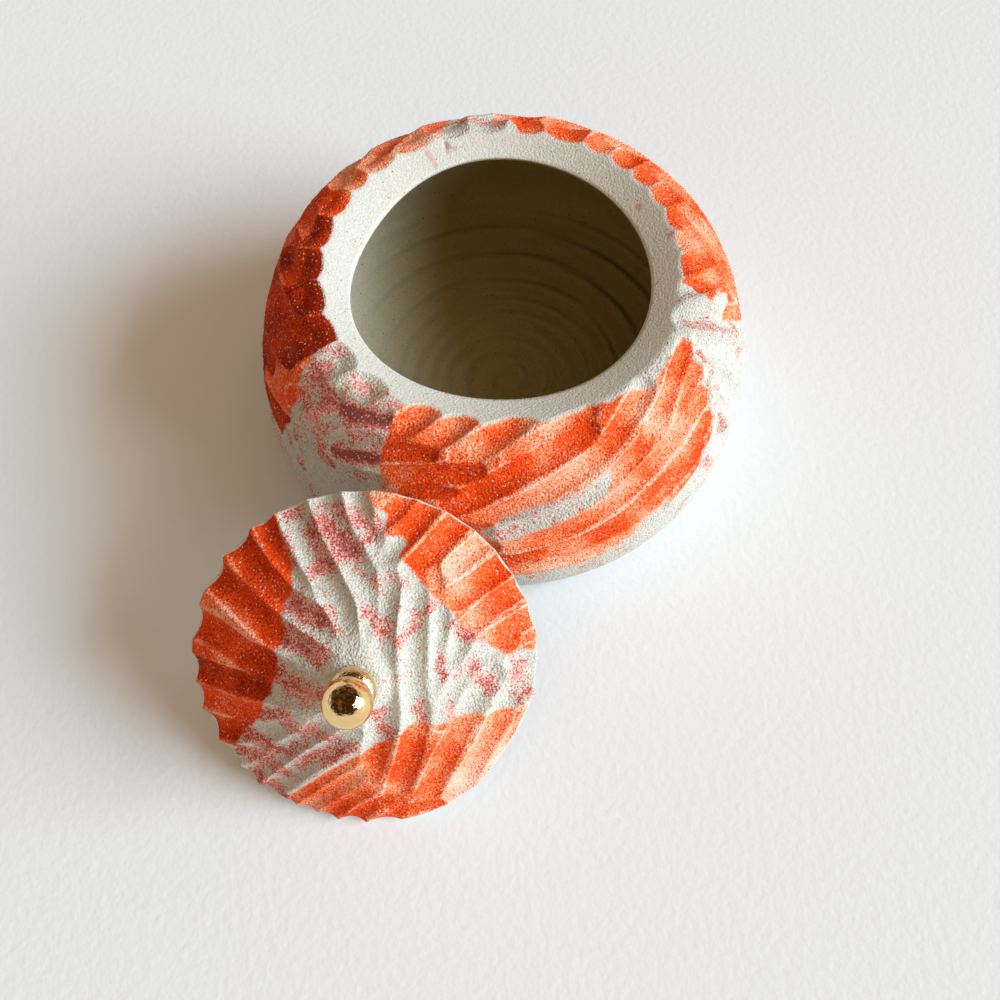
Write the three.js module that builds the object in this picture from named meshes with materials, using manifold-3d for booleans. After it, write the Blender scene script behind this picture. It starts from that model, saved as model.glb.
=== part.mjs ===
// Lidded salt cellar in carved stoneware, with its lid taken off and leaning on the bowl.
// The bowl is thrown, hollow and carved with flutes. The lid is a carved dome whose chamfered
// edge drops into the sloping seat inside the bowl's rim. Its knob is a gilded ball on a neck.
// Millimetres, +Z up. The origin is the centre of the bowl's flat foot, on the table.

import * as THREE from 'three';
import { mergeVertices } from 'three/addons/utils/BufferGeometryUtils.js';
import Module from 'manifold-3d';

// Bowl, outside
const footRadius = 43;
const bellyRadius = 50;
const bellyHeight = 14.8;
const rimRadius = 34.2;
const rimHeight = 43.8;
const footRoundness = 2.5; // exponent of the curve from foot to belly: 2 is an ellipse

// Bowl, inside
const mouthRadius = 28;
const seatDrop = 2.7; // the seat falls this far from the rim down to the mouth
const lipHeight = 2.6; // upright wall just under the mouth
const wallThickness = 6.5;
const floorThickness = 4.6;
const floorRadius = 16;
const hollowHeight = 18; // the hollow is widest this far above the table

// Carving on the bowl: a row of short cuts side by side on the shoulder, and under it long cuts
// that wind down to the belly. A cut's place is a turn along the curve from rim, 0, to belly, 90.
const shoulderRidges = [
  -7, 3, 12, 22, 32, 41.5, 51, 61, 75, 88, 100, 112, 127, 139, 148, 160, 173, 185, 198, 211,
  222.5, 239, 254, 268, 286, 304, 322, 336, 345,
]; // the ridges between the short cuts at the rim, in degrees about Z
const shoulderCuts = [[19, 0.7], [12, 1.1], [5, 1.3], [0, 1]]; // turn and depth there
const fluteShelf = 3.6; // the cuts run this far in past the rim, and the seat then trims them
const frontLean = 12; // degrees that the front's short cuts turn on their way down
const frontLeanCentre = -80; // degrees about Z
const frontLeanReach = 75; // degrees to each side
const longFlutes = 20;
const longFluteStart = -3; // where one of their ridges would meet the rim, in degrees about Z
const longFluteTurn = 125; // degrees that they wind between rim and belly
const longCuts = [
  [90, 0], [81, 0.7], [72, 1.1], [63, 1.1], [54, 1.1], [45, 1.1], [36, 1.1], [27, 1.1], [19, 0.8],
]; // turn and depth there
const runOut = 12; // each set of cuts ends this far along the curve past its last place
const runOutRise = 1.5; // and is then this far outside the bowl

// Lid
const lidInset = 3.4; // the lid's edge sits this far inside the rim
const lidRise = 12.1; // from the edge to the flat where the knob stands
const lidEdge = 1.8; // height of the edge face
const lidEdgeInset = 0.3; // the edge face leans in by this much at the bottom
const lidChamfer = 2.1; // width of the sloping ring that lies on the seat
const lidWall = 3.8;
const domeRoundness = 1.35; // 1 is a cone, 2 is a paraboloid
const lidFlutes = 34;
const lidFluteDepth = 0.9;
const lidScallop = 0.7; // the flutes notch the edge this deep, seen from above
const lidSweep = 18; // degrees that the lid's flutes turn between edge and knob

// Knob
const knobPad = 4.6; // radius of the uncarved flat that the neck stands on
const neckRadius = 4;
const neckHeight = 3.6;
const neckWaist = 0.6; // the neck's ends are this much slimmer than its middle
const ballRadius = 4.2;
const ballFlat = 2.5; // radius of the ball's flat against the neck

// How the lid was put down
const leanTilt = 35.6; // degrees from level
const leanFacing = -91; // the way that the lid's top faces, degrees about Z
const leanBearing = -110.2; // where its centre lies, seen from the bowl's axis
const lidSpin = 3; // turn of the lid about its own axis
const contactGap = 0.3;
const tableGap = 0.1;

// Fineness of the facets
const fluteColumns = 3;
const turnedSides = 48;
const knobSides = 24;
const curveSteps = 10;
const knobSteps = 6;

const mouthHeight = rimHeight - seatDrop;
const seatSlope = seatDrop / (rimRadius - mouthRadius);
const lidRadius = rimRadius - lidInset;

const wasm = await Module();
wasm.setup();

function polar(radius, angle, height) {
  return new THREE.Vector3(radius * Math.cos(angle), radius * Math.sin(angle), height);
}

// A closed skin over rings of points, lowest ring first, with a pole at each end.
function skinOver(rings, lowPole, highPole) {
  const sides = rings[0].length;
  const points = [lowPole, ...rings.flat(), highPole];
  const top = points.length - 1;
  const lastRing = top - sides;
  const faces = [];
  for (let j = 0; j < sides; j += 1) {
    const k = (j + 1) % sides;
    faces.push(0, 1 + k, 1 + j);
    faces.push(top, lastRing + j, lastRing + k);
    for (let i = 0; i < rings.length - 1; i += 1) {
      const low = 1 + i * sides;
      const high = low + sides;
      faces.push(low + j, low + k, high + j);
      faces.push(low + k, high + k, high + j);
    }
  }
  const geometry = new THREE.BufferGeometry().setFromPoints(points);
  geometry.setIndex(faces);
  return geometry;
}

// A turned solid from a profile of [radius, height] points that starts and ends on the axis.
function turned(profile, sides) {
  const points = profile.map(([radius, height]) => new THREE.Vector2(radius, height));
  return new THREE.LatheGeometry(points, sides).rotateX(Math.PI / 2);
}

function solidOf(geometry) {
  const bare = geometry.clone();
  bare.deleteAttribute('normal');
  bare.deleteAttribute('uv');
  const merged = mergeVertices(bare);
  const index = merged.index.array;
  const triangles = [];
  for (let i = 0; i < index.length; i += 3) {
    const [a, b, c] = [index[i], index[i + 1], index[i + 2]];
    if (a !== b && b !== c && c !== a) {
      triangles.push(a, b, c);
    }
  }
  const mesh = new wasm.Mesh({
    numProp: 3,
    vertProperties: new Float32Array(merged.attributes.position.array),
    triVerts: new Uint32Array(triangles),
  });
  return new wasm.Manifold(mesh);
}

function geometryOf(solid) {
  const mesh = solid.getMesh();
  const geometry = new THREE.BufferGeometry();
  geometry.setAttribute('position', new THREE.BufferAttribute(mesh.vertProperties, 3));
  geometry.setIndex(new THREE.BufferAttribute(mesh.triVerts, 1));
  return geometry;
}

// Superellipse from (startRadius, startHeight), where it runs level, to (endRadius, endHeight),
// where it runs upright.
function roundedCurve(startRadius, startHeight, endRadius, endHeight, roundness, steps) {
  const points = [];
  for (let i = 0; i <= steps; i += 1) {
    const turn = (i / steps) * (Math.PI / 2);
    const across = Math.sin(turn) ** (2 / roundness);
    const along = Math.cos(turn) ** (2 / roundness);
    points.push([
      startRadius + (endRadius - startRadius) * across,
      endHeight + (startHeight - endHeight) * along,
    ]);
  }
  return points;
}

// The bowl's outside before carving, from the foot up to the rim.
function bowlProfile() {
  const lower = roundedCurve(footRadius, 0, bellyRadius, bellyHeight, footRoundness, curveSteps / 2);
  const upper = roundedCurve(rimRadius, rimHeight, bellyRadius, bellyHeight, 2, curveSteps);
  return [...lower, ...upper.reverse().slice(1)];
}

// Depth of a cut, 0 on a ridge and 1 along the bottom of a flute.
function scoop(column) {
  const across = (column % fluteColumns) / fluteColumns;
  return Math.min(1, 4.5 * across * (1 - across));
}

// Turn of a short cut, in degrees, as it runs down the shoulder: most at the front, none elsewhere.
function shoulderLean(angle, down) {
  const offset = THREE.MathUtils.euclideanModulo(angle - frontLeanCentre + 180, 360) - 180;
  const share = Math.cos(Math.min(1, Math.abs(offset) / frontLeanReach) * (Math.PI / 2)) ** 2;
  return -frontLean * share * down;
}

// Radius, height and outward direction of the uncarved bowl at a turn from rim to belly.
function shoulderAt(turn) {
  const angle = THREE.MathUtils.degToRad(turn);
  const reach = bellyRadius - rimRadius;
  const drop = rimHeight - bellyHeight;
  return {
    radius: rimRadius + reach * Math.sin(angle),
    height: bellyHeight + drop * Math.cos(angle),
    normal: new THREE.Vector2(drop * Math.sin(angle), reach * Math.cos(angle)).normalize(),
  };
}

// A ring of points round the bowl, sunk between its ridges. lean turns each point, in degrees.
function carvedRing({ radius, height, normal }, ridges, depth, lean, clear = 0) {
  const ring = [];
  ridges.forEach((ridge, i) => {
    const next = i + 1 < ridges.length ? ridges[i + 1] : ridges[0] + 360;
    for (let column = 0; column < fluteColumns; column += 1) {
      const start = THREE.MathUtils.lerp(ridge, next, column / fluteColumns);
      const angle = THREE.MathUtils.degToRad(start + lean(start));
      const out = clear - depth * scoop(column);
      ring.push(polar(radius + out * normal.x, angle, height + out * normal.y));
    }
  });
  return ring;
}

// The bowl's filled outline with only its short cuts, clear of the bowl below them.
function shoulderCarved() {
  const [endTurn, endDepth] = shoulderCuts[0];
  const clearOf = shoulderAt(endTurn + runOut);
  const wide = bellyRadius + 8;
  const upright = new THREE.Vector2(0, 1);
  const [, rimDepth] = shoulderCuts[shoulderCuts.length - 1];
  const whole = (angle) => shoulderLean(angle, 1);
  const rings = [
    carvedRing({ radius: wide, height: -runOutRise, normal: upright }, shoulderRidges, 0, whole),
    carvedRing({ radius: wide, height: clearOf.height, normal: upright }, shoulderRidges, 0, whole),
    carvedRing(clearOf, shoulderRidges, endDepth, whole, runOutRise),
  ];
  shoulderCuts.forEach(([turn, depth]) => {
    const lean = (angle) => shoulderLean(angle, turn / endTurn);
    rings.push(carvedRing(shoulderAt(turn), shoulderRidges, depth, lean));
  });
  const shelf = { radius: rimRadius - fluteShelf, height: rimHeight, normal: upright };
  rings.push(carvedRing(shelf, shoulderRidges, rimDepth, () => 0));
  const below = new THREE.Vector3(0, 0, -runOutRise);
  return skinOver(rings, below, new THREE.Vector3(0, 0, rimHeight));
}

// The bowl's filled outline with only its long cuts, clear of the bowl above them.
function lowerCarved() {
  const ridges = [];
  for (let k = 0; k < longFlutes; k += 1) {
    ridges.push(longFluteStart + (k * 360) / longFlutes);
  }
  const wound = ({ height }) => {
    const down = (rimHeight - height) / (rimHeight - bellyHeight);
    return () => -longFluteTurn * THREE.MathUtils.clamp(down, 0, 1);
  };
  const [firstTurn] = longCuts[longCuts.length - 1];
  const clearOf = shoulderAt(firstTurn - runOut);
  const upright = new THREE.Vector2(0, 1);
  const foot = roundedCurve(footRadius, 0, bellyRadius, bellyHeight, footRoundness, curveSteps / 2);
  const rings = foot.slice(0, -1).map(([radius, height]) => {
    const spot = { radius, height, normal: upright };
    return carvedRing(spot, ridges, 0, wound(spot));
  });
  longCuts.forEach(([turn, depth]) => {
    const spot = shoulderAt(turn);
    rings.push(carvedRing(spot, ridges, depth, wound(spot)));
  });
  rings.push(carvedRing(clearOf, ridges, 0, wound(clearOf), runOutRise));
  const over = { radius: clearOf.radius, height: rimHeight + 2 * runOutRise, normal: upright };
  rings.push(carvedRing(over, ridges, 0, wound(over)));
  const top = new THREE.Vector3(0, 0, over.height);
  return skinOver(rings, new THREE.Vector3(0, 0, 0), top);
}

// Two sets of cuts on one outline: the deeper one counts wherever they meet.
function carvedBowl() {
  return solidOf(shoulderCarved()).intersect(solidOf(lowerCarved()));
}

// The hollow, the mouth and the funnel of the seat, as one turned cutter.
function bowlCutter() {
  const lipFoot = mouthHeight - lipHeight;
  const hollowRadius = bellyRadius - wallThickness;
  const below = roundedCurve(floorRadius, floorThickness, hollowRadius, hollowHeight, 2, curveSteps);
  const above = roundedCurve(mouthRadius, lipFoot, hollowRadius, hollowHeight, 2, curveSteps);
  const clearOfRim = rimRadius + fluteShelf;
  const funnelTop = mouthHeight + (clearOfRim - mouthRadius) * seatSlope;
  return turned([
    [0, floorThickness],
    ...below,
    ...above.reverse().slice(1),
    [mouthRadius, mouthHeight],
    [clearOfRim, funnelTop],
    [0, funnelTop],
  ], turnedSides);
}

// Height of the lid's top above its edge, before carving.
function domeHeight(radius) {
  const out = Math.max(0, radius - knobPad) / (lidRadius - knobPad);
  return lidRise * (1 - out ** domeRoundness);
}

// The fluted lid as a filled solid, in its own frame: edge at height 0, dome up.
function carvedLid() {
  const columns = lidFlutes * fluteColumns;
  const chamferRadius = lidRadius - lidEdgeInset - lidChamfer;
  const underHeight = -lidEdge - lidChamfer * seatSlope;
  const rows = [
    { radius: chamferRadius, height: underHeight, scallop: 0, cut: 0 },
    { radius: lidRadius - lidEdgeInset, height: -lidEdge, scallop: lidScallop, cut: 0 },
  ];
  const domeRows = curveSteps - 2;
  for (let i = 0; i <= domeRows; i += 1) {
    const radius = THREE.MathUtils.lerp(lidRadius, knobPad, i / domeRows);
    const share = Math.min(1, (3 * i) / domeRows);
    const fade = i === domeRows ? 0 : Math.sqrt(radius / lidRadius);
    rows.push({
      radius,
      height: domeHeight(radius),
      scallop: lidScallop * (1 - share),
      cut: lidFluteDepth * Math.max(share, 0.5) * fade,
    });
  }
  const rings = rows.map(({ radius, height, scallop, cut }) => {
    const ring = [];
    const inward = THREE.MathUtils.clamp((lidRadius - radius) / (lidRadius - knobPad), 0, 1);
    for (let j = 0; j < columns; j += 1) {
      const angle = (j / columns) * 2 * Math.PI + THREE.MathUtils.degToRad(lidSweep) * inward;
      const depth = scoop(j);
      ring.push(polar(radius - scallop * depth, angle, height - cut * depth));
    }
    return ring;
  });
  return skinOver(rings, new THREE.Vector3(0, 0, underHeight), new THREE.Vector3(0, 0, lidRise));
}

// The hollow under the dome, one wall below the carving, as a turned cutter.
function lidCutter() {
  const edge = lidRadius - lidEdgeInset - lidChamfer - lidFluteDepth;
  const profile = [];
  for (let i = 0; i <= curveSteps; i += 1) {
    const radius = (edge * i) / curveSteps;
    profile.push([radius, domeHeight(radius) - lidWall]);
  }
  const below = -lidEdge - lidChamfer * seatSlope - lidWall;
  return turned([[0, below], [edge, below], ...profile.reverse()], turnedSides);
}

// Neck of the knob: a short barrel, slimmer at both ends.
function neckProfile() {
  const profile = [[0, 0]];
  for (let i = 0; i <= knobSteps; i += 1) {
    const up = i / knobSteps;
    const slim = neckWaist * (2 * up - 1) ** 2;
    profile.push([neckRadius - slim, up * neckHeight]);
  }
  return [...profile, [0, neckHeight]];
}

// Ball of the knob, centred on the origin, with a flat underneath.
function ballProfile() {
  const start = Math.asin(ballFlat / ballRadius);
  const profile = [[0, -ballRadius * Math.cos(start)]];
  const steps = 2 * knobSteps;
  for (let i = 0; i < steps; i += 1) {
    const turn = THREE.MathUtils.lerp(start, Math.PI, i / steps);
    profile.push([ballRadius * Math.sin(turn), -ballRadius * Math.cos(turn)]);
  }
  return [...profile, [0, ballRadius]];
}

function material(color, roughness, metalness) {
  return new THREE.MeshStandardMaterial({ color, roughness, metalness, flatShading: true });
}

function piece(name, geometry, finish) {
  const mesh = new THREE.Mesh(geometry, finish);
  mesh.name = name;
  return mesh;
}

function makeBowl() {
  const solid = carvedBowl().subtract(solidOf(bowlCutter()));
  return piece('salt_bowl', geometryOf(solid), material(0xe0673a, 0.85, 0));
}

function makeLid() {
  const solid = solidOf(carvedLid()).subtract(solidOf(lidCutter()));
  return piece('lid_cap', geometryOf(solid), material(0xe89070, 0.85, 0));
}

function makeNeck() {
  const solid = solidOf(turned(neckProfile(), knobSides));
  const neck = piece('knob_neck', geometryOf(solid), material(0xd9a441, 0.2, 1));
  neck.position.z = lidRise + contactGap;
  return neck;
}

function makeBall() {
  const solid = solidOf(turned(ballProfile(), knobSides));
  const ball = piece('knob_ball', geometryOf(solid), material(0xe0b050, 0.12, 1));
  const flatHeight = Math.sqrt(ballRadius ** 2 - ballFlat ** 2);
  ball.position.z = lidRise + neckHeight + 2 * contactGap + flatHeight;
  return ball;
}

// Gap from a point outside the bowl to the bowl's uncarved profile, less than 0 inside it.
function gapToBowl(point, profile) {
  const spot = new THREE.Vector2(Math.hypot(point.x, point.y), point.z);
  let nearest = Infinity;
  for (let i = 0; i < profile.length - 1; i += 1) {
    const start = new THREE.Vector2(...profile[i]);
    const along = new THREE.Vector2(...profile[i + 1]).sub(start);
    const offset = spot.clone().sub(start);
    const share = THREE.MathUtils.clamp(offset.dot(along) / along.lengthSq(), 0, 1);
    const away = offset.clone().addScaledVector(along, -share);
    const outside = along.cross(offset) <= 0;
    if (away.length() < Math.abs(nearest)) {
      nearest = outside ? away.length() : -away.length();
    }
  }
  return nearest;
}

// Lays the lid down: its low edge on the table and its high edge against the bowl's shoulder.
function leanLid(group, cap) {
  const facing = THREE.MathUtils.degToRad(leanFacing);
  const bearing = THREE.MathUtils.degToRad(leanBearing);
  const hinge = new THREE.Vector3(-Math.sin(facing), Math.cos(facing), 0);
  const tilt = new THREE.Quaternion().setFromAxisAngle(hinge, THREE.MathUtils.degToRad(leanTilt));
  const spin = new THREE.Quaternion().setFromAxisAngle(
    new THREE.Vector3(0, 0, 1), THREE.MathUtils.degToRad(lidSpin));
  group.quaternion.copy(tilt).multiply(spin);

  const position = cap.geometry.attributes.position;
  const corners = [];
  for (let i = 0; i < position.count; i += 1) {
    corners.push(new THREE.Vector3().fromBufferAttribute(position, i).applyQuaternion(group.quaternion));
  }
  const height = tableGap - Math.min(...corners.map((corner) => corner.z));
  const profile = bowlProfile();
  let near = rimRadius;
  let far = bellyRadius + 2 * lidRadius;
  while (far - near > 0.001) {
    const distance = (near + far) / 2;
    const centre = polar(distance, bearing, height);
    const gap = Math.min(...corners.map((corner) => gapToBowl(corner.clone().add(centre), profile)));
    if (gap > contactGap) {
      far = distance;
    } else {
      near = distance;
    }
  }
  group.position.copy(polar(far, bearing, height));
}

const cellar = new THREE.Group();
cellar.add(makeBowl());

const lid = new THREE.Group();
const cap = makeLid();
lid.add(cap, makeNeck(), makeBall());
leanLid(lid, cap);
cellar.add(lid);

export default cellar;
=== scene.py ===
"""Lidded salt cellar in carved stoneware, its lid taken off and leaning on the bowl.

The bowl and the lid are each one closed skin, worked out as rings of points. Loop-tool cuts sink
into it, and orange stain, dry-brushed pink and bare clay are told apart by point attributes.
Sizes are millimetres and degrees until a mesh is made. Azimuth 0 is +X and 90 is +Y.
"""

import bpy
import numpy as np
from mathutils import Matrix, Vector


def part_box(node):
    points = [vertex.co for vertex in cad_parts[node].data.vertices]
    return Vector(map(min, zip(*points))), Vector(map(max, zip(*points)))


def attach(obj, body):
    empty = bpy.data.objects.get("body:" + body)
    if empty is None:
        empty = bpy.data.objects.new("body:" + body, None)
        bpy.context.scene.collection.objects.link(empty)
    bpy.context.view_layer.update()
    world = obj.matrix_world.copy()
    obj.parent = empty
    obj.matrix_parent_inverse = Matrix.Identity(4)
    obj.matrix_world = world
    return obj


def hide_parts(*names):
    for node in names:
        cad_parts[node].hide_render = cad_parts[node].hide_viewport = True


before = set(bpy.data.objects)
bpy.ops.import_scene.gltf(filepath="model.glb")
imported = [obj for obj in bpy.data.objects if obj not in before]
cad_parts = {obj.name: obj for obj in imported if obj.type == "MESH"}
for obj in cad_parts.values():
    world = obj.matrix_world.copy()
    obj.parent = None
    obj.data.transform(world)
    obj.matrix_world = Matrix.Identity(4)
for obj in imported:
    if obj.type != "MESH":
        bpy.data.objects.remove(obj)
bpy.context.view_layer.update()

MM = 0.001
bowl_high = np.array(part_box("salt_bowl")[1]) / MM
ball_low, ball_high = (np.array(corner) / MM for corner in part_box("knob_ball"))

# Bowl
BELLY_RADIUS = bowl_high[0]
RIM_HEIGHT = bowl_high[2]
FOOT_RADIUS = 43.0
BELLY_HEIGHT = 14.8
RIM_RADIUS = 34.2
FOOT_ROUNDNESS = 2.5
MOUTH_RADIUS = 28.0
SEAT_DROP = 2.7
LIP_HEIGHT = 0.9
WALL = 6.5
FLOOR_THICKNESS = 4.6
FLOOR_RADIUS = 16.0
HOLLOW_HEIGHT = 18.0
SHELF = 3.6
SEAT_SLOPE = SEAT_DROP / (RIM_RADIUS - MOUTH_RADIUS)
MOUTH_HEIGHT = RIM_HEIGHT - SEAT_DROP

# Lid
LID_RADIUS = 30.8
LID_RISE = 12.1
LID_EDGE = 1.8
LID_EDGE_INSET = 0.3
LID_CHAMFER = 2.1
LID_WALL = 3.8
LID_HOLLOW_RADIUS = 27.5
DOME_ROUNDNESS = 1.35
KNOB_PAD = 4.6
LEAN_TILT = 35.6
LEAN_FACING = -91.0

# Knob
JOINT_GAP = 0.3
NECK_RADIUS = 4.0
NECK_HEIGHT = 3.6
NECK_WAIST = 0.6
BALL_RADIUS = 4.2
BALL_FLAT = 2.5

# Fineness of the skins
BOWL_COLUMNS = 704
LID_COLUMNS = 560
KNOB_COLUMNS = 96
SAME_PLACE = 1e-6  # mm

rng = np.random.default_rng(7)


# Shapes

def on_circle(degrees, radius):
    """Points at these azimuths on a circle round the axis, as an array of x, y."""
    turn = np.radians(degrees)
    return np.stack([radius * np.cos(turn), radius * np.sin(turn)], axis=-1)


def level_ring(degrees, radius, height):
    """Points at these azimuths on a level circle round the axis."""
    return np.column_stack([on_circle(degrees, radius), np.full(len(degrees), height)])


def rounded_curve(start, end, roundness, count):
    """Superellipse from start, where it runs level, to end, where it runs upright:
    the radius moves by sin(turn) and the height by cos(turn), each to the power 2 / roundness."""
    turn = np.linspace(0, np.pi / 2, count)
    across = np.sin(turn) ** (2 / roundness)
    along = np.cos(turn) ** (2 / roundness)
    return np.stack([start[0] + (end[0] - start[0]) * across,
                     end[1] + (start[1] - end[1]) * along], axis=-1)


class Profile:
    """A turned outline of radius and height, read by its length from the zero point.
    The normal is the direction of travel turned a quarter to the left."""

    def __init__(self, points, zero=0.0):
        steps = np.hypot(*np.diff(points, axis=0).T)
        apart = steps > SAME_PLACE
        self.points = points[np.concatenate([[True], apart])]
        self.length = np.concatenate([[0], np.cumsum(steps[apart])]) - zero
        tangent = np.gradient(self.points, self.length, axis=0)
        self.tangent = tangent / np.linalg.norm(tangent, axis=1, keepdims=True)

    def at(self, length):
        """Radius, height and the two parts of the direction of travel."""
        return [np.interp(length, self.length, column) for column in (*self.points.T, *self.tangent.T)]

    def surface(self, azimuth, length, sunk=0.0):
        """Points of the turned surface at these azimuths and lengths, sunk along the normal."""
        radius, height, across, up = self.at(length)
        radius = radius + sunk * up
        height = height - sunk * across
        turn = np.radians(azimuth)
        return np.stack([radius * np.cos(turn), radius * np.sin(turn), height], axis=-1)


def line_distance(x, y, start, end):
    """Distance in mm from points to a straight line with two ends."""
    across, up = end[0] - start[0], end[1] - start[1]
    along = ((x - start[0]) * across + (y - start[1]) * up) / max(across ** 2 + up ** 2, 1e-9)
    along = np.clip(along, 0, 1)
    return np.hypot(x - start[0] - along * across, y - start[1] - along * up)


def outline_distance(x, y, outline):
    """Distance in mm from points to a closed outline, more than 0 inside it and less outside:
    the nearest of the distances to its sides, with a sign by counting the sides to one hand."""
    nearest = np.full(x.shape, np.inf)
    inside = np.zeros(x.shape, bool)
    for start, end in zip(outline, np.roll(outline, -1, axis=0)):
        (x0, y0), (x1, y1) = start, end
        nearest = np.minimum(nearest, line_distance(x, y, start, end))
        if y0 != y1:
            inside ^= ((y0 > y) != (y1 > y)) & (x < x0 + (y - y0) * (x1 - x0) / (y1 - y0))
    return np.where(inside, nearest, -nearest)


def dab_cover(x, y, dabs):
    """Cover of dry brush dabs, 0 where there is none. A dab is a line with round ends, strongest
    on the line, that fades to nothing where it is DAB_FADE times its half width away."""
    cover = np.zeros(x.shape)
    for x0, y0, x1, y1, half_width, strength in dabs:
        away = line_distance(x, y, (x0, y0), (x1, y1))
        cover = np.maximum(cover, strength * np.clip(DAB_FADE - away / half_width, 0, 1))
    return cover


def carve(points, cuts):
    """How cuts sink into a surface. A cut is a loop tool drawn along a line: its depth is full on
    the line and falls as a parabola to nothing at its reach, depth * (1 - (away / reach) ** 2).
    The tool bites in over a short run and lifts out over a longer one. Where cuts meet, the deeper
    one counts, which leaves a sharp ridge between them. Gives the depth, how near each point is
    to a ridge (0 to 1), and how thin the stain lies in the deepest cut."""
    depth = np.zeros(len(points))
    ridge = np.full(len(points), UNCUT_RIDGE)
    thin = np.full(len(points), UNCUT_THIN)
    for line, reach, full, bite, cut_thin in cuts:
        box = (points > line.min(0) - reach).all(1) & (points < line.max(0) + reach).all(1)
        near = np.flatnonzero(box)
        spots = points[near]
        away = np.full(len(near), np.inf)
        travelled = np.zeros(len(near))
        steps = np.linalg.norm(np.diff(line, axis=0), axis=1)
        before = np.concatenate([[0], np.cumsum(steps)])
        for i, (start, step) in enumerate(zip(line[:-1], steps)):
            ahead = (line[i + 1] - start) / step
            along = np.clip((spots - start) @ ahead, 0, step)
            gap = np.linalg.norm(spots - start - along[:, None] * ahead, axis=1)
            closer = gap < away
            away = np.where(closer, gap, away)
            travelled = np.where(closer, before[i] + along, travelled)
        stations = (0, BITE_RUN, max(before[-1] - LIFT_RUN, BITE_RUN), before[-1] + PAST_END)
        here = full * np.interp(travelled, stations, (bite, 1, 1, LIFT)) * (1 - (away / reach) ** 2)
        wins = here > depth[near]
        depth[near[wins]] = here[wins]
        ridge[near[wins]] = np.clip(away[wins] / reach, 0, 1)
        thin[near[wins]] = cut_thin
    return depth, ridge, thin


def skin(name, rings, first_pole, last_pole, values, zones):
    """A closed skin over rings of points with a pole at each end. Neighbouring rings have equal
    counts, or the second has half as many. values holds point attributes and zones the material
    number of each band between rings, poles included."""
    counts = [len(ring) for ring in rings]
    starts = 1 + np.concatenate([[0], np.cumsum(counts)])
    last = starts[-1]
    points = np.concatenate([[first_pole], *rings, [last_pole]])
    faces = []
    materials = []

    def add(block, zone):
        faces.extend(block.tolist())
        materials.extend([zone] * len(block))

    def ring_index(i, stride=1, shift=0):
        return starts[i] + (np.arange(0, counts[i], stride) + shift) % counts[i]

    add(np.stack([np.zeros(counts[0], int), ring_index(0, shift=1), ring_index(0)], 1), zones[0])
    for i in range(len(rings) - 1):
        if counts[i] == counts[i + 1]:
            a, b = ring_index(i), ring_index(i, shift=1)
            add(np.stack([a, b, ring_index(i + 1, shift=1), ring_index(i + 1)], 1), zones[i + 1])
        else:
            a, b, c = (ring_index(i, 2, shift) for shift in (0, 1, 2))
            d, e = ring_index(i + 1), ring_index(i + 1, shift=1)
            for corners in ((a, b, d), (b, e, d), (b, c, e)):
                add(np.stack(corners, 1), zones[i + 1])
    end = len(rings) - 1
    add(np.stack([np.full(counts[end], last), ring_index(end), ring_index(end, shift=1)], 1), zones[-1])

    mesh = bpy.data.meshes.new(name)
    mesh.from_pydata((points * MM).tolist(), [], faces)
    mesh.polygons.foreach_set("material_index", materials)
    mesh.polygons.foreach_set("use_smooth", [True] * len(faces))
    for label, array in values.items():
        layer = mesh.attributes.new(label, "FLOAT", "POINT")
        layer.data.foreach_set("value", np.asarray(array, np.float32))
    mesh.update()
    piece = bpy.data.objects.new(name, mesh)
    bpy.context.scene.collection.objects.link(piece)
    return piece


# Carving

UNCUT_RIDGE = 0.8
UNCUT_THIN = 0.5
BITE_RUN = 3.0
LIFT_RUN = 5.0
LIFT = 0.35
PAST_END = 0.1  # mm, so that the last station is past the others
DEEP_BITE = 0.8
RIM_BITE = 0.5
CUT_STEPS = 10

# Azimuths of the ridges between the short cuts on the shoulder, from the right round the back
SHOULDER_RIDGES = (
    -7, 3, 12, 22, 32, 41.5, 51, 61, 75, 88, 100, 112, 127, 139, 148, 160, 173, 185, 198, 211)
SHOULDER_CUT_DEPTH = 1.4
SHOULDER_CUT_START = 0.4  # mm down from the rim
SHOULDER_CUT_REACH = 0.57  # of its width

# By azimuth: degrees that a short cut leans for each mm down, how far down it ends, and how thin
# the stain lies in it. The low values from about 150 to 212, on the left away from the window, are
# painted shade: they make the stain thick and red brown there.
SHOULDER_CUT_LEAN = ((0, 30, 130, 200), (1.2, 0, 0, -0.4))
SHOULDER_CUT_END = ((0, 15, 30), (9, 6.5, 5))
SHOULDER_THIN_AND_SHADE = ((100, 112, 138, 168, 208, 212), (0, 0.7, 0.6, -1.4, -1.6, -0.4))

LONG_CUTS = 20
LONG_CUT_START = 6.0  # where one of them would meet the rim, in degrees
LONG_CUT_TURN = 125.0  # degrees that they wind between rim and belly
LONG_CUT_PARTS = 6
LONG_CUT_OVERLAP = 0.25  # of a part
LONG_CUT_FIRST = 0.03  # the share of the height down at which the first part may start
LONG_CUT_LAST = 0.97  # the share that the last part reaches
LONG_CUT_REACH = 3.0
LONG_CUT_CLEAR = 3.5  # mm under the rim that they leave to the short cuts
# Painted shade on the left, away from the window: how much thicker and darker the stain lies in the long
# cuts, by azimuth
LONG_CUT_PAINTED_SHADE = ((140, 180, 235, 240), (0, 1.4, 1.4, 0))  # stain, by azimuth

# The front has its own list of cuts between these azimuths, and low down in the second range
LISTED_HIGH = (-155, -8)
LISTED_LOW = (-95, -8)
LISTED_LOW_FROM = 19.0  # mm down

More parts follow.
